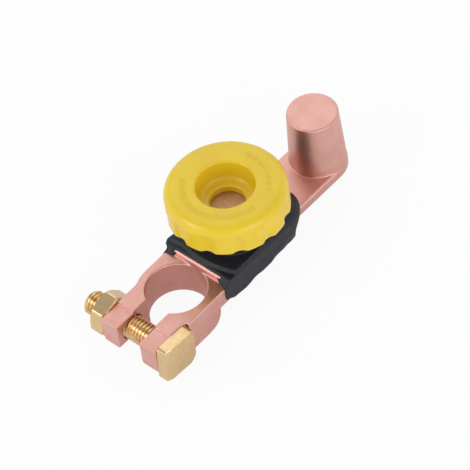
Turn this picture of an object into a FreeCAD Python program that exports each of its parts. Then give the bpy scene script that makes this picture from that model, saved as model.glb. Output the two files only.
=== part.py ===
import FreeCAD, Part
import math
import os

# Battery disconnect switch with a knob: a clamp for a battery post at one end, a tapered post at
# the other, and between them a screw contact that a knob opens and closes.
# Millimetres. Origin: centre of the clamp's bore, on the clamp's underside.
# +X runs from the clamp to the tapered post, +Z is up, the clamp's nut is on the +Y side.

V = FreeCAD.Vector

# Clamp ring and neck
bore_r = 9.6
ring_wall = 3.0
ring_h = 12.5
bore_chamfer = 0.3
cast_round = 0.5
neck_bottom = 6.2
neck_end = 13.6
lug_step = 1.9
lug_t = 2.0
lug_half = 9.6
riser_gap = 0.1
riser_round = 1.2

# Clamp ears
ear_gap = 9.2
ear_t = 6.6
ear_reach = 22.4
ear_step = 0.8
ear_step_length = 7.7
ear_bottom = 0.9
ear_tip_rise = 1.3
ear_tip_slope = 4.0
ear_round_nut_side = 3.0
ear_round_head_side = 1.0
ear_round_inside = 2.5
waist_r = 6.0

# Clamp bolt and nut, M8
bolt_r = 4.0
bolt_inset = 6.6
bolt_hole_clear = 0.25
bolt_end_y = 22.1
bolt_chamfer = 0.7
head_af = 13.0
head_t = 4.2
head_chamfer = 0.9
chamfer_slope = 1.73
head_turn = 4.0
head_key_clear = 0.4
nut_af = 13.0
nut_t = 5.4
nut_turn = -12.0
nut_chamfer = 0.5
nut_run = 0.06

# Tapered post and its tongue
post_x = 67.5
post_h = 20.7
post_base_r = 9.2
post_top_r = 8.2
post_chamfer = 0.3
tongue_half = 9.4
tongue_t = 3.4
tongue_chamfer = 0.6
screw_hole_run = 0.06

# Insulation between the two copper parts
plate_t = 0.8
plate_edge = 0.8
bush_wall = 1.5
bush_short = 0.2
bush_fit = 0.05

# Contact screw
knob_x = 26.7
screw_r = 5.0
screw_clear = 0.35
flange_r = 8.6
flange_t = 2.5
stem_r = 5.6
hex_af = 12.4
hex_t = 5.1
tip_below_clip = 0.6
tip_chamfer = 0.5
clip_groove_r = 4.3

# Stop washer and clip at the screw's lower end
lift = 1.875
lift_spare = 0.1
washer_r = 7.2
washer_t = 0.8
washer_clear = 0.3
clip_r = 6.4
clip_t = 0.8
clip_mouth = 3.0

# Knob
knob_r = 19.3
knob_bottom = 25.5
knob_top = 36.2
knob_round = 3.2
knob_round_bands = 4
knob_foot_chamfer = 0.6
recess_r = 9.3
recess_lip = 0.7
recess_draft = 0.35
recess_floor = 28.9
window_r = 5.6
window_t = 2.3
hub_r = 8.9
hub_floor_t = 1.2
flutes = 12
flute_phase = 22.0
flute_depth = 0.9
flute_cut_r = 2.6
flute_end = 0.6
core_in = 11.2
core_wall = 3.0
core_roof = 3.2
core_ribs = 6
core_rib_t = 1.6

# Rubber body
rubber_half = 13.3
rubber_foot_half = 13.1
rubber_bottom = 6.0
rubber_top = 15.8
rubber_front = 11.0
rubber_front_bow = 2.6
rubber_rear = 49.2
rubber_rear_r = 9.0
rubber_foot_rear = 45.5
rubber_wall = 0.6
rubber_edge = 1.1
lip_x = 8.2
lip_wall = 0.5
lip_mouth_x = 10.5
lip_foot_rise = 0.7
lip_foot_run = 3.3
collar_top_gap = 0.3
collar_r = 11.2
collar_clear = 0.5
skirt_wall = 2.0
skirt_drop = 1.5
skirt_clear = 1.0

# Sizes that follow from the ones above
ring_r = bore_r + ring_wall
ear_half = ear_gap / 2 + ear_t
lug_top = ring_h + lug_step
lug_bottom = lug_top - lug_t
tongue_top = lug_bottom - plate_t
tongue_bottom = tongue_top - tongue_t
post_top = tongue_top + post_h
riser_x = bore_r + riser_gap
bolt_x = bolt_inset - ear_reach
bolt_z = (ear_bottom + ring_h - ear_step) / 2
head_corner = head_af / 2 * (math.cos(math.radians(head_turn)) + math.sin(math.radians(head_turn)))
shoulder_x = bolt_x + head_corner + head_key_clear
bush_in = screw_r + screw_clear
bush_out = bush_in + bush_wall
hex_top = recess_floor - window_t
hex_bottom = hex_top - hex_t
hub_bottom = hex_bottom - hub_floor_t
washer_top = tongue_bottom - lift - lift_spare
clip_top = washer_top - washer_t
clip_bottom = clip_top - clip_t
screw_tip = clip_bottom - tip_below_clip
collar_in = max(hub_r, flange_r) + collar_clear
skirt_in = washer_r + skirt_clear
big = 200.0


def cylinder(r, z0, z1, x=0.0):
    """Upright cylinder about a point on the X axis."""
    return Part.makeCylinder(r, z1 - z0, V(x, 0, z0))


def block(x0, x1, y0, y1, z0, z1):
    """Box between two corners."""
    return Part.makeBox(x1 - x0, y1 - y0, z1 - z0, V(x0, y0, z0))


def closed(edges):
    """Face inside a closed run of edges."""
    return Part.Face(Part.Wire(edges))


def line(a, b):
    return Part.LineSegment(V(*a), V(*b)).toShape()


def arc(a, m, b):
    return Part.Arc(V(*a), V(*m), V(*b)).toShape()


def slot_plate(x0, x1, r, z0, z1):
    """Plate with round ends about x0 and x1."""
    edges = [
        line((x0, -r, z0), (x1, -r, z0)),
        arc((x1, -r, z0), (x1 + r, 0, z0), (x1, r, z0)),
        line((x1, r, z0), (x0, r, z0)),
        arc((x0, r, z0), (x0 - r, 0, z0), (x0, -r, z0)),
    ]
    return closed(edges).extrude(V(0, 0, z1 - z0))


def turned(points, x):
    """Solid of revolution from (radius, z) corners, about a vertical line at x."""
    ring = points + [points[0]]
    edges = [line((x + a[0], 0, a[1]), (x + b[0], 0, b[1])) for a, b in zip(ring, ring[1:])]
    return closed(edges).revolve(V(x, 0, 0), V(0, 0, 1), 360)


def corner_radius(sides, across):
    """Distance from the centre of a regular polygon to its corners, from its size across flats."""
    return across / 2 / math.cos(math.pi / sides)


def prism_along_y(sides, across, y0, y1, turn):
    """Regular prism along Y about the bolt's axis, given across its flats."""
    corner_r = corner_radius(sides, across)
    points = []
    for i in range(sides + 1):
        a = math.radians(turn) + math.pi * (2 * i + 1) / sides
        points.append(V(bolt_x + corner_r * math.cos(a), y0, bolt_z + corner_r * math.sin(a)))
    return Part.Face(Part.makePolygon(points)).extrude(V(0, y1 - y0, 0))


def edges_at(shape, test):
    """Edges of a shape whose middle point passes a test."""
    picked = []
    for edge in shape.Edges:
        middle = edge.valueAt((edge.FirstParameter + edge.LastParameter) / 2)
        if test(middle, edge):
            picked.append(edge)
    return picked


def flat_at(edge, z):
    """True for an edge that lies in the level plane z."""
    box = edge.BoundBox
    return abs(box.ZMin - z) < 1e-4 and abs(box.ZMax - z) < 1e-4


def clamp_outline():
    """Plan of the ring, its keyed flank and the ears, before the slot is cut."""
    waist_y = ear_half + waist_r
    waist_x = -math.sqrt((ring_r + waist_r) ** 2 - waist_y ** 2)
    reach = ring_r / (ring_r + waist_r)
    touch = (waist_x * reach, waist_y * reach, 0)
    half_turn = math.atan2(touch[1], touch[0])
    to_ring = math.atan2(touch[1] - waist_y, touch[0] - waist_x)
    a = (to_ring - math.pi / 2) / 2
    waist_mid = (waist_x + waist_r * math.cos(a), waist_y + waist_r * math.sin(a), 0)
    m = (half_turn - math.pi / 2) / 2
    return closed([
        line((0, -ring_r, 0), (shoulder_x, -ring_r, 0)),
        line((shoulder_x, -ring_r, 0), (shoulder_x, -ear_half, 0)),
        line((shoulder_x, -ear_half, 0), (-ear_reach, -ear_half, 0)),
        line((-ear_reach, -ear_half, 0), (-ear_reach, ear_half, 0)),
        line((-ear_reach, ear_half, 0), (waist_x, ear_half, 0)),
        arc((waist_x, ear_half, 0), waist_mid, touch),
        arc(touch, (ring_r * math.cos(m), ring_r * math.sin(m), 0), (0, -ring_r, 0)),
    ])


def clamp_terminal():
    """Cast clamp: ring with a split bore, two ears, and the neck that ends in the upper lug."""
    ring = clamp_outline().extrude(V(0, 0, ring_h))
    ring = ring.makeFillet(cast_round, edges_at(ring, lambda p, e: flat_at(e, ring_h)))
    neck = block(0, neck_end, -ring_r, ring_r, neck_bottom, ring_h)
    neck = neck.makeFillet(cast_round, edges_at(neck, lambda p, e: abs(p.y) > ring_r - 0.1
                                                and abs(p.x - neck_end / 2) < 0.1))
    mouth = Part.makeCone(bore_r, bore_r + bore_chamfer, bore_chamfer, V(0, 0, ring_h - bore_chamfer))
    below_ears = block(-big, shoulder_x, -big, big, -1, ear_bottom)
    tip_x = ear_tip_slope - ear_reach
    tip = Part.makePolygon([V(tip_x, -big, ear_bottom), V(-ear_reach, -big, ear_bottom + ear_tip_rise),
                            V(-ear_reach, -big, -1), V(tip_x, -big, -1), V(tip_x, -big, ear_bottom)])
    below_tips = Part.Face(tip).extrude(V(0, 2 * big, 0))
    above_ears = block(-big, ear_step_length - ear_reach, -big, big, ring_h - ear_step, big)
    slot = block(-big, 0, -ear_gap / 2, ear_gap / 2, -1, big)
    ring = ring.fuse(neck).cut([mouth, below_ears, below_tips, above_ears, slot])
    ring = ring.cut([ear_rounding(1, ear_half, ear_round_nut_side),
                     ear_rounding(-1, -ear_half, ear_round_head_side),
                     ear_rounding(-1, ear_gap / 2, ear_round_inside),
                     ear_rounding(1, -ear_gap / 2, ear_round_inside)])
    riser = block(riser_x, neck_end, -lug_half, lug_half, neck_bottom, lug_top)
    riser = riser.makeFillet(riser_round, edges_at(riser, lambda p, e: flat_at(e, lug_top)
                                                   and p.x < riser_x + 0.1))
    lug = slot_plate(neck_end, knob_x, lug_half, lug_bottom, lug_top)
    lug = lug.common(block(neck_end, big, -big, big, 0, big))
    hole = Part.makeCylinder(bolt_r + bolt_hole_clear, 2 * big, V(bolt_x, -big, bolt_z), V(0, 1, 0))
    bush_hole = cylinder(bush_out + bush_fit, 0, big, knob_x)
    body = ring.fuse([riser, lug]).cut([cylinder(bore_r, -1, big), hole, bush_hole])
    return body.removeSplitter()


def ear_rounding(side, y, r):
    """Waste outside the rounded lower edge of an ear; side is the way that its wall faces."""
    inner = y - side * r
    outer = y + side * r
    corner = block(-big, shoulder_x, min(inner, outer), max(inner, outer), 0, ear_bottom + r)
    rod = Part.makeCylinder(r, 2 * big, V(-big, inner, ear_bottom + r), V(1, 0, 0))
    return corner.cut(rod)


def clamp_bolt():
    """Square-headed M8 bolt; the head is kept from turning by the clamp's shoulder."""
    y0 = -ear_half - head_t
    head = prism_along_y(4, head_af, y0, -ear_half, -head_turn)
    cone_h = head_t * 2
    corner_r = corner_radius(4, head_af)
    cone = Part.makeCone(corner_r - head_chamfer, corner_r - head_chamfer + cone_h * chamfer_slope,
                         cone_h, V(bolt_x, y0, bolt_z), V(0, 1, 0))
    head = head.common(cone)
    shank = Part.makeCylinder(bolt_r, bolt_end_y + ear_half - bolt_chamfer,
                              V(bolt_x, -ear_half, bolt_z), V(0, 1, 0))
    tip = Part.makeCone(bolt_r, bolt_r - bolt_chamfer, bolt_chamfer,
                        V(bolt_x, bolt_end_y - bolt_chamfer, bolt_z), V(0, 1, 0))
    return head.fuse([shank, tip]).removeSplitter()


def clamp_nut():
    """Hexagon nut, seated on the ear's outer face."""
    nut = prism_along_y(6, nut_af, ear_half, ear_half + nut_t, nut_turn + 30)
    corner_r = corner_radius(6, nut_af)
    cone_h = nut_t * 2
    outer = Part.makeCone(corner_r - nut_chamfer + cone_h * chamfer_slope, corner_r - nut_chamfer,
                          cone_h, V(bolt_x, ear_half + nut_t - cone_h, bolt_z), V(0, 1, 0))
    hole = Part.makeCylinder(bolt_r + nut_run, 2 * big, V(bolt_x, -big, bolt_z), V(0, 1, 0))
    return nut.common(outer).cut(hole)


def post_terminal():
    """Tapered battery post standing on a flat tongue, cast as one piece."""
    tongue = slot_plate(knob_x, post_x, tongue_half, tongue_bottom, tongue_top)
    tongue = tongue.makeChamfer(tongue_chamfer, edges_at(tongue, lambda p, e: flat_at(e, tongue_top)))
    cone = Part.makeCone(post_base_r, post_top_r, post_h, V(post_x, 0, tongue_top))
    cone = cone.makeChamfer(post_chamfer, edges_at(cone, lambda p, e: flat_at(e, post_top)))
    root = cylinder(post_base_r, tongue_bottom, tongue_top, post_x)
    hole = cylinder(screw_r + screw_hole_run, 0, big, knob_x)
    return tongue.fuse([root, cone]).cut(hole).removeSplitter()


def insulating_plate():
    """Thin sheet that keeps the upper lug off the tongue."""
    sheet = slot_plate(riser_x, knob_x, lug_half + plate_edge, tongue_top, lug_bottom)
    sheet = sheet.common(block(neck_end, big, -big, big, 0, big))
    return sheet.cut(cylinder(bush_in, 0, big, knob_x))


def insulating_bush():
    """Tube that keeps the screw off the wall of the lug's hole."""
    tube = cylinder(bush_out, lug_bottom, lug_top - bush_short, knob_x)
    return tube.cut(cylinder(bush_in, 0, big, knob_x))


def contact_screw():
    """Screw that the knob turns: hexagon head, stem, contact flange, thread, and a grooved tip."""
    screw = turned([
        (0, screw_tip),
        (screw_r - tip_chamfer, screw_tip),
        (screw_r, screw_tip + tip_chamfer),
        (screw_r, clip_bottom),
        (clip_groove_r, clip_bottom),
        (clip_groove_r, clip_top),
        (screw_r, clip_top),
        (screw_r, lug_top),
        (flange_r, lug_top),
        (flange_r, lug_top + flange_t),
        (stem_r, lug_top + flange_t),
        (stem_r, hex_bottom),
        (0, hex_bottom),
    ], knob_x)
    corner_r = corner_radius(6, hex_af)
    corners = [math.pi * (2 * i + 1) / 6 for i in range(7)]
    points = [V(knob_x + corner_r * math.cos(a), corner_r * math.sin(a), hex_bottom) for a in corners]
    head = Part.Face(Part.makePolygon(points)).extrude(V(0, 0, hex_t))
    return screw.fuse(head).removeSplitter()


def stop_washer():
    """Loose washer that meets the tongue's underside when the screw is fully raised."""
    return cylinder(washer_r, clip_top, washer_top, knob_x).cut(
        cylinder(screw_r + washer_clear, 0, big, knob_x))


def retaining_clip():
    """Open ring in the groove at the screw's tip."""
    ring = cylinder(clip_r, clip_bottom, clip_top, knob_x)
    ring = ring.cut(cylinder(clip_groove_r, 0, big, knob_x))
    return ring.cut(block(knob_x, knob_x + big, -clip_mouth / 2, clip_mouth / 2, 0, big))


def knob(screw):
    """Moulded knob with twelve shallow flutes, a deep recess, and a hub moulded round the screw."""
    steps = [math.pi / 2 * i / knob_round_bands for i in range(knob_round_bands + 1)]
    top_round = [(knob_r - knob_round * (1 - math.cos(a)), knob_top - knob_round * (1 - math.sin(a)))
                 for a in steps]
    body = turned([
        (0, hub_bottom),
        (hub_r, hub_bottom),
        (hub_r, knob_bottom),
        (knob_r - knob_foot_chamfer, knob_bottom),
        (knob_r, knob_bottom + knob_foot_chamfer),
        *top_round,
        (recess_r + recess_lip, knob_top),
        (recess_r, knob_top - recess_lip),
        (recess_r - recess_draft, recess_floor),
        (0, recess_floor),
    ], knob_x)
    window = cylinder(window_r, hub_bottom, big, knob_x)
    return body.cut(knob_flutes() + [window, knob_core(), screw]).removeSplitter()


def knob_flutes():
    """Leaning rods that cut the flutes: full depth at the knob's foot, none just below the top round."""
    rise = knob_top - knob_round - flute_end - knob_bottom
    start = knob_r - 2 * flute_depth + flute_cut_r
    rods = []
    for i in range(flutes):
        a = math.radians(flute_phase + 360.0 * i / flutes)
        foot = V(knob_x + start * math.cos(a), start * math.sin(a), knob_bottom - rise)
        lean = V(flute_depth * math.cos(a), flute_depth * math.sin(a), rise)
        rods.append(Part.makeCylinder(flute_cut_r, rise * 3, foot, lean))
    return rods


def knob_core():
    """Hollow in the knob's underside, crossed by ribs."""
    core_out = knob_r - flute_depth - core_wall
    ring = cylinder(core_out, knob_bottom - 1, knob_top - core_roof, knob_x)
    ring = ring.cut(cylinder(core_in, 0, big, knob_x))
    ribs = []
    for i in range(core_ribs):
        rib = block(0, big, -core_rib_t / 2, core_rib_t / 2, 0, big)
        rib.rotate(V(0, 0, 0), V(0, 0, 1), 360.0 * i / core_ribs)
        rib.translate(V(knob_x, 0, 0))
        ribs.append(rib)
    return ring.cut(ribs)


def rubber_block():
    """Block with a bowed front, rounded rear corners and a bevelled top edge, drawn in at the foot."""
    corner_x = rubber_front + rubber_front_bow
    r = rubber_rear_r
    x = rubber_rear
    y = rubber_half
    z = rubber_bottom
    q = r * (1 - math.sqrt(0.5))
    solid = closed([
        line((corner_x, -y, z), (x - r, -y, z)),
        arc((x - r, -y, z), (x - q, -y + q, z), (x, -y + r, z)),
        line((x, -y + r, z), (x, y - r, z)),
        arc((x, y - r, z), (x - q, y - q, z), (x - r, y, z)),
        line((x - r, y, z), (corner_x, y, z)),
        arc((corner_x, y, z), (rubber_front, 0, z), (corner_x, -y, z)),
    ]).extrude(V(0, 0, rubber_top - z))
    solid = solid.makeChamfer(rubber_edge, edges_at(solid, lambda p, e: flat_at(e, rubber_top)))
    knee = rubber_top - rubber_edge - rubber_wall
    side = Part.makePolygon([V(0, y, knee), V(0, big, knee), V(0, big, z), V(0, rubber_foot_half, z),
                             V(0, y, knee)])
    near = Part.Face(side).extrude(V(big, 0, 0))
    rear = Part.makePolygon([V(x, -big, knee), V(big, -big, knee), V(big, -big, z),
                             V(rubber_foot_rear, -big, z), V(x, -big, knee)])
    return solid.cut([near, near.mirror(V(0, 0, 0), V(0, 1, 0)),
                      Part.Face(rear).extrude(V(0, 2 * big, 0))])


def rubber_lip():
    """Sleeve round the clamp's neck that rises to cover the step up to the lug."""
    half = ring_r + lip_wall
    rear = rubber_front + rubber_front_bow + rubber_edge
    foot_x = lip_x + lip_foot_run
    side = Part.makePolygon([
        V(lip_x, -half, neck_bottom + lip_foot_rise),
        V(lip_x, -half, ring_h + lip_wall),
        V(rubber_front, -half, lug_top + lip_wall),
        V(rear, -half, lug_top + lip_wall),
        V(rear, -half, rubber_bottom),
        V(foot_x, -half, rubber_bottom),
        V(lip_x, -half, neck_bottom + lip_foot_rise),
    ])
    return Part.Face(side).extrude(V(0, 2 * half, 0))


def rubber_body(clamp, post, plate):
    """Rubber moulded round the neck, the lug and the tongue, with a collar under the knob."""
    collar = cylinder(collar_r, rubber_top, knob_bottom - collar_top_gap, knob_x)
    skirt_bottom = rubber_bottom - skirt_drop
    skirt = cylinder(skirt_in + skirt_wall, skirt_bottom, rubber_bottom, knob_x)
    body = rubber_block().fuse([rubber_lip(), collar, skirt])
    bow = lip_mouth_x - lip_x
    mouth_r = ((ring_r + lip_wall) ** 2 + bow ** 2) / (2 * bow)
    mouth = cylinder(mouth_r, 0, big, lip_mouth_x - mouth_r)
    well = cylinder(collar_in, lug_top, big, knob_x)
    pit = cylinder(skirt_in, 0, tongue_bottom, knob_x)
    return body.cut([mouth, well, pit, clamp, post, plate,
                     cylinder(bush_out + bush_fit, tongue_bottom, lug_top, knob_x)]).removeSplitter()


def main():
    clamp = clamp_terminal()
    post = post_terminal()
    plate = insulating_plate()
    screw = contact_screw()
    nodes = {
        "clamp_terminal": clamp,
        "clamp_bolt": clamp_bolt(),
        "clamp_nut": clamp_nut(),
        "post_terminal": post,
        "insulating_plate": plate,
        "insulating_bush": insulating_bush(),
        "rubber_body": rubber_body(clamp, post, plate),
        "contact_screw": screw,
        "knob": knob(screw),
        "stop_washer": stop_washer(),
        "retaining_clip": retaining_clip(),
    }
    os.makedirs("parts", exist_ok=True)
    for name, shape in nodes.items():
        shape.exportStep("parts/" + name + ".step")


main()
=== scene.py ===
import math

import bmesh
import bpy
from mathutils import Matrix, Vector
from mathutils.bvhtree import BVHTree


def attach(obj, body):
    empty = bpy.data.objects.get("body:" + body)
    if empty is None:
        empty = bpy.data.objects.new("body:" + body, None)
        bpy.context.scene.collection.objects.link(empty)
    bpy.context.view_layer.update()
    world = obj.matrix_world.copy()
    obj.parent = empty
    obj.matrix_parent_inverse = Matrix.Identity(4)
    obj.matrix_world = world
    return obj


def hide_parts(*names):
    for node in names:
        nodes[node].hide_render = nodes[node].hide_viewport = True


# Battery disconnect switch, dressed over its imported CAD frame. Part frame: +X towards the tapered
# post, +Z up, nut on the +Y side. Every size in a dictionary is in millimetres.
mm = 0.001
weld = 1e-3  # vertices of a new shape closer than this, in millimetres, are one
faceSlack = 0.01  # how far, in millimetres, a face may lie from the height it is looked for at

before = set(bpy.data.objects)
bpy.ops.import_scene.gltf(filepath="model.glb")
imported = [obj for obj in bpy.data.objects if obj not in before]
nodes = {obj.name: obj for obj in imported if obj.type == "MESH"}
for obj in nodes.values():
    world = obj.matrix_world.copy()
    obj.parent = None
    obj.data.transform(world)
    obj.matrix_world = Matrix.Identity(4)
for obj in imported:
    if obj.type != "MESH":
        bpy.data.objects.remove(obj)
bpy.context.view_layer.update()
print("frame loaded:", len(nodes), "nodes")


def linear(hexText):
    parts = [int(hexText[i:i + 2], 16) / 255 for i in (1, 3, 5)]
    return [p / 12.92 if p <= 0.04045 else ((p + 0.055) / 1.055) ** 2.4 for p in parts] + [1]


def addNode(tree, kind, settings, links=()):
    node = tree.nodes.new(kind)
    for name, value in settings.items():
        if isinstance(name, str) and hasattr(node, name):
            setattr(node, name, value)
        else:
            node.inputs[name].default_value = value
    for socket, source in dict(links).items():
        tree.links.new(source, node.inputs[socket])
    return node


def newMaterial(name):
    material = bpy.data.materials.new(name)
    material.use_nodes = True
    tree = material.node_tree
    return material, tree, tree.nodes["Principled BSDF"]


def noiseValue(tree, coords, grain, detail):
    # grain is the size of the lumps in millimetres
    return addNode(tree, "ShaderNodeTexNoise", {
        "Scale": 1 / (grain * mm), "Detail": detail, "Roughness": 0.5,
    }, {"Vector": coords}).outputs["Fac"]


def spread(tree, value, low, high):
    # noise keeps to the middle of 0 to 1, so that part of it is stretched from low to high
    return addNode(tree, "ShaderNodeMapRange", {
        "From Min": 0.3, "From Max": 0.7, "To Min": low, "To Max": high,
    }, {"Value": value}).outputs["Result"]


def finishedMaterial(name, f):
    material, tree, shader = newMaterial(name)
    coords = addNode(tree, "ShaderNodeTexCoord", {}).outputs["Object"]
    for socket, value in f["sockets"].items():
        shader.inputs[socket].default_value = value
    first, second = f["colours"]
    cloud = spread(tree, noiseValue(tree, coords, *f["cloud"]), 0, 1)
    mix = addNode(tree, "ShaderNodeMix", {
        "data_type": "RGBA", 6: linear(first), 7: linear(second),
    }, {0: cloud})
    tree.links.new(mix.outputs[2], shader.inputs["Base Color"])
    if "haze" in f:
        haze = spread(tree, noiseValue(tree, coords, *f["haze"]), *f["roughness"])
        tree.links.new(haze, shader.inputs["Roughness"])
    if "grain" in f:
        bump = addNode(tree, "ShaderNodeBump", {
            "Strength": 1.0, "Distance": f["grainDepth"] * mm,
        }, {"Height": noiseValue(tree, coords, *f["grain"])})
        tree.links.new(bump.outputs["Normal"], shader.inputs["Normal"])
    return material


# Finishes. cloud, haze and grain are noises, each with the size of its lumps in millimetres and its
# detail: cloud mixes the two colours, haze moves the roughness and grain is the relief.

# copper-plated die casting, as plated: a soft pink satin skin, a little uneven where it was poured
platedCasting = {
    "sockets": {"Metallic": 1.0}, "colours": ("#E9B6AC", "#E1AA9F"), "cloud": (5.0, 3.0),
    "haze": (1.6, 3.0), "roughness": (0.39, 0.46), "grain": (0.55, 3.0), "grainDepth": 0.014,
}
# free-cutting brass, turned and tumbled: bright yellow metal with a faint haze
machinedBrass = {
    "sockets": {"Metallic": 1.0}, "colours": ("#E7CA9B", "#DEBF8E"), "cloud": (1.8, 4.0),
    "haze": (0.9, 3.0), "roughness": (0.20, 0.27), "grain": (0.7, 2.0), "grainDepth": 0.006,
}
# turned copper-brown contact screw: dulled by handling, faintly mottled
contactCopper = {
    "sockets": {"Metallic": 1.0, "Roughness": 0.42}, "colours": ("#C9A27C", "#B58E68"),
    "cloud": (1.2, 4.0), "grain": (0.8, 3.0), "grainDepth": 0.008,
}
# yellow ABS, injection moulded in a spark-eroded tool: a fine even grain under a satin gloss. The
# real grain is finer than 0.4 mm, and is drawn coarser so that it shows.
mouldedAbs = {
    "sockets": {"IOR": 1.53, "Roughness": 0.24, "Subsurface Weight": 0.06,
                "Subsurface Radius": (0.0012, 0.0009, 0.0003), "Subsurface Scale": 1.0},
    "colours": ("#EECE28", "#E8C523"), "cloud": (9.0, 2.0),
    "grain": (0.4, 2.0), "grainDepth": 0.022,
}
# black moulded rubber: blue-black, slightly bloomed, with a soft dull sheen
mouldedRubber = {
    "sockets": {"IOR": 1.45}, "colours": ("#1B1D25", "#24262E"), "cloud": (4.0, 4.0),
    "haze": (1.5, 3.0), "roughness": (0.42, 0.56), "grain": (0.8, 3.0), "grainDepth": 0.03,
}
# black fibre insulation, punched from sheet: matt and slightly mottled
fibreSheet = {
    "sockets": {"Roughness": 0.7}, "colours": ("#201E1D", "#2C2927"), "cloud": (0.9, 3.0),
    "grain": (0.5, 2.0), "grainDepth": 0.01,
}
# zinc-plated spring steel: pale, bright and faintly clouded
zincSteel = {
    "sockets": {"Metallic": 1.0}, "colours": ("#C9CBCE", "#B4B7BB"), "cloud": (1.5, 3.0),
    "haze": (0.8, 2.0), "roughness": (0.26, 0.38),
}

copper = finishedMaterial("copper plated casting", platedCasting)
brass = finishedMaterial("machined brass", machinedBrass)
screwCopper = finishedMaterial("dull contact copper", contactCopper)
yellowAbs = finishedMaterial("moulded yellow ABS", mouldedAbs)
blackRubber = finishedMaterial("moulded black rubber", mouldedRubber)
fibre = finishedMaterial("black fibre insulation", fibreSheet)
zinc = finishedMaterial("zinc plated steel", zincSteel)
print("materials ready")


def newPiece(name, bm, material, body, replaced, crease):
    # edges that turn by more than crease degrees stay sharp
    for face in bm.faces:
        face.smooth = True
    for edge in bm.edges:
        edge.smooth = len(edge.link_faces) != 2 or edge.calc_face_angle() < math.radians(crease)
    mesh = bpy.data.meshes.new(name)
    bm.to_mesh(mesh)
    bm.free()
    mesh.materials.append(material)
    piece = bpy.data.objects.new(name, mesh)
    bpy.context.scene.collection.objects.link(piece)
    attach(piece, body)
    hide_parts(replaced)
    return piece


def roundCorners(corners, steps):
    # corners are (across, up, radius); a radius of 0 keeps the corner
    points = []
    for i, (across, up, radius) in enumerate(corners):
        here = Vector((across, up))
        if radius == 0:
            points.append(here)
            continue
        before = (Vector(corners[i - 1][:2]) - here).normalized()
        after = (Vector(corners[(i + 1) % len(corners)][:2]) - here).normalized()
        half = before.angle(after) / 2
        centre = here + (before + after).normalized() * radius / math.sin(half)
        start = here + before * radius / math.tan(half) - centre
        end = here + after * radius / math.tan(half) - centre
        sweep = start.angle_signed(end)
        for s in range(steps + 1):
            points.append(centre + Matrix.Rotation(-sweep * s / steps, 2) @ start)
    return points


def spunRing(bm, points, steps, startAngle):
    # closed profile in millimetres, spun a full turn about Z
    verts = [bm.verts.new((p.x, 0, p.y)) for p in points]
    edges = [bm.edges.new((a, b)) for a, b in zip(verts, verts[1:] + verts[:1])]
    bmesh.ops.rotate(bm, verts=verts, cent=(0, 0, 0), matrix=Matrix.Rotation(startAngle, 3, "Z"))
    bmesh.ops.spin(bm, geom=verts + edges, cent=(0, 0, 0), axis=(0, 0, 1), angle=2 * math.pi,
                   steps=steps, use_merge=True)
    bmesh.ops.remove_doubles(bm, verts=bm.verts, dist=weld / 10)
    bmesh.ops.recalc_face_normals(bm, faces=bm.faces)


def placed(bm, matrix):
    # from millimetres at the axis to metres in the part frame
    bmesh.ops.transform(bm, matrix=Matrix.Scale(mm, 4) @ matrix, verts=bm.verts)
    return bm


knobShape = {
    "x": 26.7, "radius": 19.3, "bottom": 25.5, "top": 36.2, "topRound": 3.2, "footRound": 0.6,
    "recessRadius": 9.3, "recessDraft": 0.35, "recessFloor": 28.9, "recessRound": 1.8,
    "lipRound": 0.9, "windowRadius": 5.6, "windowRound": 0.7,
    "pocketTop": 26.6, "pocketRadius": 7.2, "pocketBottom": 21.5,  # room for the screw's hexagon
    "hubRadius": 8.9, "hubBottom": 20.3, "hubRound": 0.4,
    "coreInside": 11.2, "coreOutside": 15.4, "coreTop": 33.0, "coreRibs": 6, "ribDegrees": 7.5,
    "flutes": 12, "flutePhase": 22, "fluteDepth": 0.9, "fluteHalf": 2.35, "fluteTop": 34.0,
    "fluteRunOut": 4,  # power of height: the higher, the later a flute fades towards its top
    "wall": 1.0,  # flutes press only what is this far outside the core
    "steps": 288, "sideRings": 9, "cornerSteps": 7, "crease": 35,
}


def knobProfile(k):
    foot = k["bottom"] + k["footRound"]
    rise = k["top"] - k["topRound"] - foot
    side = [(k["radius"], foot + rise * i / k["sideRings"], 0) for i in range(1, k["sideRings"])]
    return roundCorners([
        (k["windowRadius"], k["hubBottom"], 0),
        (k["hubRadius"], k["hubBottom"], k["hubRound"]),
        (k["hubRadius"], k["bottom"], 0),
        (k["coreInside"], k["bottom"], 0),
        (k["coreOutside"], k["bottom"], 0),
        (k["radius"], k["bottom"], k["footRound"]),
        *side,
        (k["radius"], k["top"], k["topRound"]),
        (k["recessRadius"], k["top"], k["lipRound"]),
        (k["recessRadius"] - k["recessDraft"], k["recessFloor"], k["recessRound"]),
        (k["windowRadius"], k["recessFloor"], k["windowRound"]),
        (k["windowRadius"], k["pocketTop"], 0),
        (k["pocketRadius"], k["pocketTop"], 0),
        (k["pocketRadius"], k["pocketBottom"], 0),
        (k["windowRadius"], k["pocketBottom"], 0),
    ], k["cornerSteps"])


def pressFlutes(bm, k):
    rise = k["fluteTop"] - k["bottom"]
    pitch = 360 / k["flutes"]
    for vert in bm.verts:
        reach = math.hypot(vert.co.x, vert.co.y)
        if reach < k["coreOutside"] + k["wall"] or vert.co.z > k["fluteTop"]:
            continue
        turn = math.degrees(math.atan2(vert.co.y, vert.co.x)) - k["flutePhase"]
        off = (turn + pitch / 2) % pitch - pitch / 2
        across = abs(math.radians(off) * k["radius"]) / k["fluteHalf"]
        if across < 1:
            fade = 1 - ((vert.co.z - k["bottom"]) / rise) ** k["fluteRunOut"]
            press = k["fluteDepth"] * (1 - across ** 2) * fade
            vert.co.x *= (reach - press) / reach
            vert.co.y *= (reach - press) / reach


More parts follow.
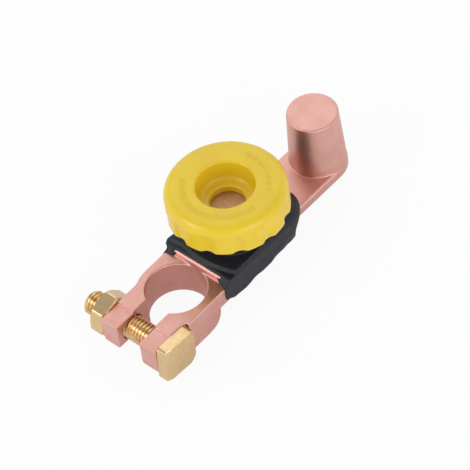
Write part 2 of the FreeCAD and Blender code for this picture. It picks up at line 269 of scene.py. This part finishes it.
def coreOut(bm, k):
    # hollow underside, left solid where the ribs cross it
    pitch = 360 / k["coreRibs"]
    hollow = []
    for face in bm.faces:
        middle = face.calc_center_median()
        reach = math.hypot(middle.x, middle.y)
        turn = math.degrees(math.atan2(middle.y, middle.x)) % pitch
        fromRib = min(turn, pitch - turn)
        underneath = abs(middle.z - k["bottom"]) < faceSlack
        if underneath and k["coreInside"] < reach < k["coreOutside"] \
                and fromRib > k["ribDegrees"] / 2:
            hollow.append(face)
    raised = bmesh.ops.extrude_face_region(bm, geom=hollow)["geom"]
    lifted = [item for item in raised if isinstance(item, bmesh.types.BMVert)]
    bmesh.ops.translate(bm, verts=lifted, vec=(0, 0, k["coreTop"] - k["bottom"]))
    bmesh.ops.delete(bm, geom=hollow, context="FACES")


markShape = {
    "radius": 13.3, "raised": 0.14, "sunk": 0.1, "letter": 2.6, "letterFat": 0.04, "lean": 9.0,
    "words": [("ON", 5), ("OFF", -53)],  # word, place in degrees round the knob
    "arrow": (-11, -34), "arrowWide": 0.34, "arrowHead": 0.75, "headProud": 0.03, "arrowSteps": 16,
    "ticks": (118, 262, 4.0), "tickInner": 12.4, "tickOuter": 14.2, "tickWide": 0.34,
}


def onTop(degrees, radius):
    # local +Y points outwards from the knob's middle, local +Z up out of its top face
    return (Matrix.Rotation(math.radians(degrees), 4, "Z")
            @ Matrix.Translation((radius, 0, knobShape["top"]))
            @ Matrix.Rotation(math.radians(-90), 4, "Z"))


def addLetter(bm, m, letter, degrees):
    curve = bpy.data.curves.new("letter", "FONT")
    curve.body = letter
    curve.align_x, curve.align_y = "CENTER", "CENTER"
    curve.size = m["letter"]
    curve.offset = m["letterFat"]
    curve.extrude = (m["raised"] + m["sunk"]) / 2
    holder = bpy.data.objects.new("letter", curve)
    bpy.context.scene.collection.objects.link(holder)
    evaluated = holder.evaluated_get(bpy.context.evaluated_depsgraph_get())
    mesh = bpy.data.meshes.new_from_object(evaluated)
    bpy.data.objects.remove(holder)
    lift = Matrix.Translation((0, 0, (m["raised"] - m["sunk"]) / 2))
    mesh.transform(onTop(degrees, m["radius"]) @ lift)
    before = set(bm.verts)
    bm.from_mesh(mesh)
    bmesh.ops.remove_doubles(bm, verts=[v for v in bm.verts if v not in before], dist=weld)


def addTick(bm, m, degrees):
    made = bmesh.ops.create_cube(bm, size=1.0)["verts"]
    size = (m["tickWide"], m["tickOuter"] - m["tickInner"], m["raised"] + m["sunk"], 1)
    place = onTop(degrees, (m["tickInner"] + m["tickOuter"]) / 2)
    lift = Matrix.Translation((0, 0, (m["raised"] - m["sunk"]) / 2))
    bmesh.ops.transform(bm, matrix=place @ lift @ Matrix.Diagonal(size), verts=made)


def addArrow(bm, m):
    # curved shaft with a head at each end; the heads stand prouder, so no two faces coincide
    start, end = m["arrow"]
    low, high = knobShape["top"] - m["sunk"], knobShape["top"] + m["raised"]
    half = m["arrowWide"] / 2
    section = ((-half, low), (half, low), (half, high), (-half, high))
    corners = [bm.verts.new((m["radius"] + x, 0, z)) for x, z in section]
    face = bm.faces.new(corners)
    bmesh.ops.rotate(bm, verts=corners, cent=(0, 0, 0),
                     matrix=Matrix.Rotation(math.radians(start), 3, "Z"))
    bmesh.ops.spin(bm, geom=[face], cent=(0, 0, 0), axis=(0, 0, 1),
                   angle=math.radians(end - start), steps=m["arrowSteps"])
    thick = high - low + m["headProud"]
    lift = Matrix.Translation((0, 0, thick / 2 - m["sunk"]))
    for degrees, turn in ((start, 180), (end, 0)):
        head = bmesh.ops.create_cone(bm, cap_ends=True, segments=3, radius1=m["arrowHead"],
                                     radius2=m["arrowHead"], depth=thick)["verts"]
        point = Matrix.Rotation(math.radians(turn - 90), 4, "Z")
        bmesh.ops.transform(bm, matrix=onTop(degrees, m["radius"]) @ lift @ point, verts=head)


def addMarks(bm, m):
    for word, middle in m["words"]:
        for i, letter in enumerate(word):
            addLetter(bm, m, letter, middle - (i - (len(word) - 1) / 2) * m["lean"])
    first, last, step = m["ticks"]
    for i in range(int((last - first) / step) + 1):
        addTick(bm, m, first + i * step)
    addArrow(bm, m)


def knobPiece():
    k = knobShape
    bm = bmesh.new()
    spunRing(bm, knobProfile(k), k["steps"], math.radians(k["flutePhase"]))
    coreOut(bm, k)
    pressFlutes(bm, k)
    addMarks(bm, markShape)
    bmesh.ops.recalc_face_normals(bm, faces=bm.faces)
    placed(bm, Matrix.Translation((k["x"], 0, 0)))
    newPiece("knobBody", bm, yellowAbs, "knob", "knob", k["crease"])


knobPiece()
print("knob done")


boltShape = {
    "x": -15.8, "z": 6.3, "radius": 4.0, "pitch": 1.25, "threadDepth": 0.62, "stepsPerTurn": 40,
    # thread's section as (share of the depth, share of the pitch)
    "threadSection": [(0, 0.0), (0, 0.16), (1, 0.5), (1, 0.64), (0, 0.98), (0, 1.0)],
    "headFace": -11.2, "tip": 22.1, "tipChamfer": 0.9,
    "headAcross": 13.0, "headThick": 4.2, "headTurn": 4.0,
    "headSquareness": 14,  # power of the outline: the higher, the sharper its corners
    "headTurned": 1.19,  # the turned chamfer starts this many half widths out
    "headSlope": 0.55, "headEdge": 0.25, "headBreak": (0.22, 0.19), "headDish": 0.75,
    "headBack": 0.3, "headCentre": 0.02, "ringSteps": 144, "headCrease": 28,
}
nutShape = {
    "across": 13.0, "thick": 5.4, "turn": -12.0, "seat": 11.2, "hole": 4.06,
    "holeChamfer": (0.5, 0.6),  # how far out and how deep
    "face": 0.97, "corner": 1.135,  # turned face and rounded corners, in half widths
    "chamferSlope": 0.577, "crease": 25,
}


def alongBolt(y, turn=0.0):
    # local +Z becomes part +Y, local +X stays part +X
    return (Matrix.Translation((boltShape["x"], y, boltShape["z"]))
            @ Matrix.Rotation(math.radians(-90), 4, "X")
            @ Matrix.Rotation(math.radians(turn), 4, "Z"))


def threadedRod(bm, b, length):
    root = b["radius"] - b["threadDepth"]
    pitch = b["pitch"]
    turns = int(length / pitch) + 2
    verts = [bm.verts.new((root + out * b["threadDepth"], 0, along * pitch - pitch))
             for out, along in b["threadSection"]]
    edges = [bm.edges.new(pair) for pair in zip(verts, verts[1:])]
    steps = b["stepsPerTurn"]
    bmesh.ops.spin(bm, geom=verts + edges, cent=(0, 0, 0), axis=(0, 0, 1),
                   dvec=(0, 0, pitch / steps), angle=2 * math.pi * turns, steps=steps * turns,
                   use_merge=False)
    bmesh.ops.remove_doubles(bm, verts=bm.verts, dist=weld)
    for height, side in ((0, -1), (length, 1)):
        cut = bmesh.ops.bisect_plane(bm, geom=bm.verts[:] + bm.edges[:] + bm.faces[:],
                                     dist=weld / 100, plane_co=(0, 0, height),
                                     plane_no=(0, 0, side), clear_outer=True)
        rim = [item for item in cut["geom_cut"] if isinstance(item, bmesh.types.BMEdge)]
        bmesh.ops.holes_fill(bm, edges=rim, sides=0)
    for vert in bm.verts:
        limit = b["radius"] - max(0, vert.co.z - (length - b["tipChamfer"]))
        reach = math.hypot(vert.co.x, vert.co.y)
        if reach > limit:
            vert.co.x *= limit / reach
            vert.co.y *= limit / reach
    bmesh.ops.recalc_face_normals(bm, faces=bm.faces)


def prismRings(bm, rings, steps):
    # each ring gives (reach, height) for an angle, and is drawn out of the ring before it
    made = bmesh.ops.create_circle(bm, segments=steps, radius=1.0)["verts"]
    loops = [bm.edges[:]]
    for i, ring in enumerate(rings):
        if i > 0:
            drawn = bmesh.ops.extrude_edge_only(bm, edges=loops[-1])["geom"]
            made = {item for item in drawn if isinstance(item, bmesh.types.BMVert)}
            loops.append([edge for edge in bm.edges if made.issuperset(edge.verts)])
        for vert in made:
            angle = math.atan2(vert.co.y, vert.co.x)
            reach, height = ring(angle)
            vert.co = Vector((reach * math.cos(angle), reach * math.sin(angle), height))
    return loops


def boltHead(b):
    half, thick = b["headAcross"] / 2, b["headThick"]
    power = b["headSquareness"]
    turned = half * b["headTurned"]
    breakIn, breakDown = b["headBreak"]

    def outline(angle):
        total = abs(math.cos(angle)) ** power + abs(math.sin(angle)) ** power
        return half * total ** (-1 / power)

    def shoulder(angle):
        return max(0.0, (outline(angle) - turned)) * b["headSlope"] + b["headEdge"]

    bm = bmesh.new()
    loops = prismRings(bm, [
        lambda a: (b["headCentre"], 0.0),
        lambda a: (min(outline(a), turned) - b["headDish"], 0.0),
        lambda a: (outline(a) - breakIn, shoulder(a) - breakDown),
        lambda a: (outline(a), shoulder(a)),
        lambda a: (outline(a), thick - b["headBack"]),
        lambda a: (outline(a) - b["headBack"], thick),
        lambda a: (b["headCentre"], thick),
    ], b["ringSteps"])
    bmesh.ops.holes_fill(bm, edges=loops[0] + loops[-1], sides=0)
    bmesh.ops.recalc_face_normals(bm, faces=bm.faces)
    return placed(bm, alongBolt(b["headFace"] - thick, b["headTurn"]))


def boltPiece():
    b = boltShape
    rod = bmesh.new()
    threadedRod(rod, b, b["tip"] - b["headFace"])
    placed(rod, alongBolt(b["headFace"]))
    head = boltHead(b)
    joined = bpy.data.meshes.new("boltHead")
    head.to_mesh(joined)
    head.free()
    rod.from_mesh(joined)
    newPiece("clampBolt", rod, brass, "clamp_bolt", "clamp_bolt", b["headCrease"])


def nutPiece():
    n = nutShape
    thick, half, hole = n["thick"], n["across"] / 2, n["hole"]
    face = half * n["face"]
    mouth, deep = hole + n["holeChamfer"][0], n["holeChamfer"][1]

    def flat(angle):
        sector = math.pi / 3
        hexagon = half / math.cos((angle + sector / 2) % sector - sector / 2)
        return min(hexagon, half * n["corner"])

    def drop(angle):
        return (flat(angle) - face) * n["chamferSlope"]

    bm = bmesh.new()
    prismRings(bm, [
        lambda a: (hole, deep),
        lambda a: (mouth, 0.0),
        lambda a: (face, 0.0),
        lambda a: (flat(a), drop(a)),
        lambda a: (flat(a), thick - drop(a)),
        lambda a: (face, thick),
        lambda a: (mouth, thick),
        lambda a: (hole, thick - deep),
        lambda a: (hole, deep),  # back to the first ring, which it is merged with
    ], boltShape["ringSteps"])
    bmesh.ops.remove_doubles(bm, verts=bm.verts, dist=weld / 10)
    bmesh.ops.recalc_face_normals(bm, faces=bm.faces)
    placed(bm, alongBolt(n["seat"], -n["turn"]))
    newPiece("clampNut", bm, brass, "clamp_nut", "clamp_nut", n["crease"])


boltPiece()
nutPiece()
print("bolt and nut done")


softening = {
    # voxel size, smoothing steps and the share of triangles that is kept
    "clamp_terminal": {"voxel": 0.18, "smoothing": 7, "keep": 0.62},
    "post_terminal": {"voxel": 0.18, "smoothing": 7, "keep": 0.62},
    "rubber_body": {"voxel": 0.2, "smoothing": 8, "keep": 0.6},
    "crease": 60,
}
seal = {
    # rubber this near to a casting goes into it by up to press, and the moves are evened out
    "near": 0.5, "press": 0.35, "evening": 4,
}


def mergedCopy(node):
    bm = bmesh.new()
    bm.from_mesh(nodes[node].data)
    bmesh.ops.remove_doubles(bm, verts=bm.verts, dist=1e-7)
    return bm


def evenedMoves(moves):
    # each move becomes half its own and half the mean of its neighbours'
    still = Vector((0, 0, 0))
    reached = set(moves)
    for vert in moves:
        reached.update(edge.other_vert(vert) for edge in vert.link_edges)
    evened = {}
    for vert in sorted(reached, key=lambda v: v.index):
        around = [moves.get(edge.other_vert(vert), still) for edge in vert.link_edges]
        evened[vert] = (moves.get(vert, still) + sum(around, still) / len(around)) / 2
    return evened


def sealRubber(bm):
    near = seal["near"] * mm
    moves = {}
    for node in ("clamp_terminal", "post_terminal"):
        casting = mergedCopy(node)
        skin = BVHTree.FromBMesh(casting)
        casting.free()
        for vert in bm.verts:
            place, outwards, _, gap = skin.find_nearest(vert.co, near)
            if place is not None:
                moves[vert] = outwards * -seal["press"] * mm * (1 - gap / near)
    for _ in range(seal["evening"]):
        moves = evenedMoves(moves)
    for vert, move in moves.items():
        vert.co += move


rubberPulls = [
    # a soft boot doesn't lie true: place, reach of the pull, and how far it goes, all (x, y, z)
    {"at": (13.0, 13.3, 15.0), "reach": (6.0, 6.0, 4.0), "move": (-1.6, 0.9, 0.0)},
    {"at": (9.4, 13.3, 13.8), "reach": (3.2, 3.4, 2.4), "move": (1.0, -0.8, -0.2)},
    {"at": (8.4, -13.1, 5.8), "reach": (4.0, 4.0, 4.0), "move": (0.2, 0.0, 0.9)},
    {"at": (45.5, -11.5, 6.0), "reach": (7.5, 7.5, 7.5), "move": (-1.3, 1.3, 0.0)},
    {"at": (45.5, 11.5, 6.0), "reach": (7.5, 7.5, 7.5), "move": (-1.3, -1.3, 0.0)},
    {"at": (37.5, -13.3, 6.0), "reach": (5.0, 4.0, 4.0), "move": (0.0, 0.4, 0.3)},
    {"at": (17.0, -13.3, 6.0), "reach": (4.5, 4.0, 3.0), "move": (0.0, 0.0, -0.5)},
    {"at": (26.5, -13.3, 6.0), "reach": (4.0, 4.0, 3.0), "move": (0.0, 0.0, -0.25)},
    {"at": (21.8, -13.3, 6.0), "reach": (3.0, 4.0, 3.0), "move": (0.0, 0.0, 0.25)},
    {"at": (32.5, -13.3, 6.0), "reach": (3.5, 4.0, 3.0), "move": (0.0, 0.3, 0.25)},
]


def pullRubber(bm):
    for pull in rubberPulls:
        middle = Vector(pull["at"])
        reach = Vector(pull["reach"])
        move = Vector(pull["move"])
        for vert in bm.verts:
            away = vert.co / mm - middle
            off = Vector((away.x / reach.x, away.y / reach.y, away.z / reach.z)).length
            if off < 1:
                vert.co += move * mm * (1 - off ** 2) ** 2


def softCopy(name, node, material):
    # the CAD node's shape with its edges softened, as a casting or a moulding has them
    s = softening[node]
    bm = mergedCopy(node)
    mesh = bpy.data.meshes.new(name)
    bm.to_mesh(mesh)
    rough = bpy.data.objects.new(name + "Rough", mesh)
    bpy.context.scene.collection.objects.link(rough)
    remesh = rough.modifiers.new("skin", "REMESH")
    remesh.mode = "VOXEL"
    remesh.voxel_size = s["voxel"] * mm
    smooth = rough.modifiers.new("soften", "SMOOTH")
    smooth.factor = 0.5
    smooth.iterations = s["smoothing"]
    thin = rough.modifiers.new("thin", "DECIMATE")
    thin.ratio = s["keep"]
    evaluated = rough.evaluated_get(bpy.context.evaluated_depsgraph_get())
    baked = bpy.data.meshes.new_from_object(evaluated)
    bpy.data.objects.remove(rough)
    bm.clear()
    bm.from_mesh(baked)
    if node == "rubber_body":
        sealRubber(bm)
        pullRubber(bm)
    print(name, sum(len(face.verts) - 2 for face in bm.faces), "triangles")
    newPiece(name, bm, material, "base", node, softening["crease"])


softCopy("clampCasting", "clamp_terminal", copper)
softCopy("postCasting", "post_terminal", copper)
softCopy("rubberBoot", "rubber_body", blackRubber)
print("castings and rubber done")


keptNodes = {
    "insulating_plate": fibre, "insulating_bush": fibre, "contact_screw": screwCopper,
    "stop_washer": zinc, "retaining_clip": zinc,
}
for name, material in keptNodes.items():
    mesh = nodes[name].data
    for slotIndex in range(max(1, len(mesh.materials))):
        if slotIndex < len(mesh.materials):
            mesh.materials[slotIndex] = material
        else:
            mesh.materials.append(material)
print("CAD nodes finished")


studio = {
    "floorFront": (12.6, 0.0), "floorRear": (76.9, 8.2),  # the two places (x, z) it rests on
    "floorSize": 3000.0, "floorColour": "#F7F7F7", "floorRoughness": 0.9,
    "seenWhite": 0.92, "mirroredWhite": 0.2,  # share of plain white in what camera and gloss see
    "horizon": 1.15, "zenith": 0.44, "wallTop": 0.1, "ceiling": 0.9,  # strengths, then heights
    "aim": (34, 0, 14),
    "softboxes": [
        # name, azimuth from +X towards +Y, elevation, distance, size, watts
        ("rear panel", 47.8, 49, 620, 480, 0.38),
        ("left softbox", 151.8, 42.3, 520, 260, 0.45),
        ("right softbox", -97.2, 28.1, 520, 360, 0.45),
    ],
}


def floorMaterial():
    # matt white table; camera, mirror and see-through rays get part of it as plain white
    material, tree, shader = newMaterial("white table")
    shader.inputs["Base Color"].default_value = linear(studio["floorColour"])
    shader.inputs["Roughness"].default_value = studio["floorRoughness"]
    shader.inputs["Specular IOR Level"].default_value = 0.0
    rays = addNode(tree, "ShaderNodeLightPath", {}).outputs
    mirrored = addNode(tree, "ShaderNodeMath", {"operation": "MAXIMUM"},
                       {0: rays["Is Glossy Ray"], 1: rays["Is Transmission Ray"]})
    mirrored = addNode(tree, "ShaderNodeMath", {
        "operation": "MULTIPLY", 1: studio["mirroredWhite"],
    }, {0: mirrored.outputs[0]})
    seen = addNode(tree, "ShaderNodeMath", {
        "operation": "MULTIPLY", 1: studio["seenWhite"],
    }, {0: rays["Is Camera Ray"]})
    share = addNode(tree, "ShaderNodeMath", {"operation": "MAXIMUM"},
                    {0: seen.outputs[0], 1: mirrored.outputs[0]})
    white = addNode(tree, "ShaderNodeEmission", {"Color": (1, 1, 1, 1), "Strength": 1.0})
    mix = addNode(tree, "ShaderNodeMixShader", {},
                  {0: share.outputs[0], 1: shader.outputs[0], 2: white.outputs[0]})
    tree.links.new(mix.outputs[0], tree.nodes["Material Output"].inputs["Surface"])
    return material


def addFloor():
    (x0, z0), (x1, z1) = studio["floorFront"], studio["floorRear"]
    bm = bmesh.new()
    bmesh.ops.create_grid(bm, x_segments=1, y_segments=1, size=studio["floorSize"] / 2)
    lean = Matrix.Rotation(-math.atan2(z1 - z0, x1 - x0), 4, "Y")
    placed(bm, Matrix.Translation((x0, 0, z0)) @ lean)
    mesh = bpy.data.meshes.new("floor")
    bm.to_mesh(mesh)
    bm.free()
    mesh.materials.append(floorMaterial())
    floor = bpy.data.objects.new("floor", mesh)
    bpy.context.scene.collection.objects.link(floor)


def addSoftbox(name, azimuth, elevation, distance, size, watts):
    a, e = math.radians(azimuth), math.radians(elevation)
    towards = Vector((math.cos(a) * math.cos(e), math.sin(a) * math.cos(e), math.sin(e)))
    lamp = bpy.data.lights.new(name, "AREA")
    lamp.shape = "DISK"
    lamp.size = size * mm
    lamp.energy = watts
    holder = bpy.data.objects.new(name, lamp)
    holder.matrix_world = (Matrix.Translation((Vector(studio["aim"]) + towards * distance) * mm)
                           @ towards.to_track_quat("Z", "Y").to_matrix().to_4x4())
    bpy.context.scene.collection.objects.link(holder)


def setWorld():
    # pale studio: bright walls and a greyer ceiling, so that metal has something to show
    world = bpy.data.worlds.new("studio")
    bpy.context.scene.world = world
    world.use_nodes = True
    tree = world.node_tree
    direction = addNode(tree, "ShaderNodeTexCoord", {}).outputs["Generated"]
    up = addNode(tree, "ShaderNodeSeparateXYZ", {}, {0: direction}).outputs["Z"]
    ramp = addNode(tree, "ShaderNodeMapRange", {
        "From Min": studio["wallTop"], "From Max": studio["ceiling"],
        "To Min": studio["horizon"], "To Max": studio["zenith"],
    }, {"Value": up})
    background = tree.nodes["Background"].inputs
    tree.links.new(ramp.outputs["Result"], background["Strength"])
    background["Color"].default_value = (1, 1, 1, 1)


cameraPlace = {
    "azimuth": -42.192, "elevation": 49.263, "roll": -8.982, "aim": (40.0, 0.0, 10.5),
    "distance": 1135.518, "shiftRight": -8.221, "shiftUp": -7.108,
    "lens": 279.28, "sensor": 36, "clip": (0.01, 20),  # clip in metres
}


def addCamera():
    c = cameraPlace
    a, e, roll = (math.radians(c[key]) for key in ("azimuth", "elevation", "roll"))
    back = Vector((math.sin(a) * math.cos(e), -math.cos(a) * math.cos(e), math.sin(e)))
    level = Vector((math.cos(a), math.sin(a), 0))
    above = back.cross(level)
    right = level * math.cos(roll) + above * math.sin(roll)
    up = above * math.cos(roll) - level * math.sin(roll)
    eye = Vector(c["aim"]) + back * c["distance"] + right * c["shiftRight"] + up * c["shiftUp"]
    data = bpy.data.cameras.new("camera")
    data.lens = c["lens"]
    data.sensor_width = c["sensor"]
    data.clip_start, data.clip_end = c["clip"]
    camera = bpy.data.objects.new("camera", data)
    turn = Matrix((right, up, back)).transposed().to_4x4()
    camera.matrix_world = Matrix.Translation(eye * mm) @ turn
    bpy.context.scene.collection.objects.link(camera)
    bpy.context.scene.camera = camera


addFloor()
for softbox in studio["softboxes"]:
    addSoftbox(*softbox)
setWorld()
addCamera()
bpy.context.scene.view_settings.view_transform = "Standard"
print("studio ready")
